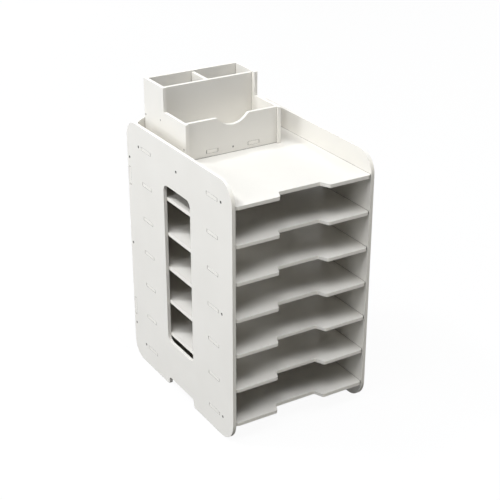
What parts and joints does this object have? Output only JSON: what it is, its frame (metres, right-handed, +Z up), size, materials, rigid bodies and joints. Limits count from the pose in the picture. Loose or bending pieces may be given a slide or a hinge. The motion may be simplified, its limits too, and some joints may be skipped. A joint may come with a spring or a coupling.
{
  "type": "envelope sorter with pen box",
  "caption": "White desk sorter with open letter bays between windowed side panels, and a pen box that stands loose on the tray on top.",
  "frame": {"origin": "middle of the sorter's footprint, on the desk", "axes": "+X to the right seen from the open front, +Y to the rear (the front edges are at -Y), +Z up"},
  "size_m": [0.245, 0.33, 0.4925],
  "materials": {
    "coated_board": "satin white skin on foamed plastic board",
    "screw_steel": "plain steel, slightly dull"
  },
  "bodies": {
    "sorter": {"side_panel_left": "coated_board", "side_panel_right": "coated_board", "back_panel": "coated_board", "top_deck": "coated_board", "shelf_2": "coated_board", "shelf_3": "coated_board", "shelf_4": "coated_board", "shelf_5": "coated_board", "shelf_6": "coated_board", "shelf_7": "coated_board", "shelf_screws_left": "screw_steel", "shelf_screws_right": "screw_steel", "back_panel_screws": "screw_steel"},
    "caddy": {"caddy_left_side": "coated_board", "caddy_right_side": "coated_board", "caddy_front": "coated_board", "caddy_middle_wall": "coated_board", "caddy_back": "coated_board", "caddy_floor": "coated_board", "caddy_divider": "coated_board", "caddy_side_screws": "screw_steel", "caddy_floor_screws": "screw_steel"}
  },
  "joints": [
    {"name": "caddy_lift", "type": "slide", "parent": "sorter", "child": "caddy", "axis": [0, 0, 1], "range_m": [0, 0.08]}
  ]
}
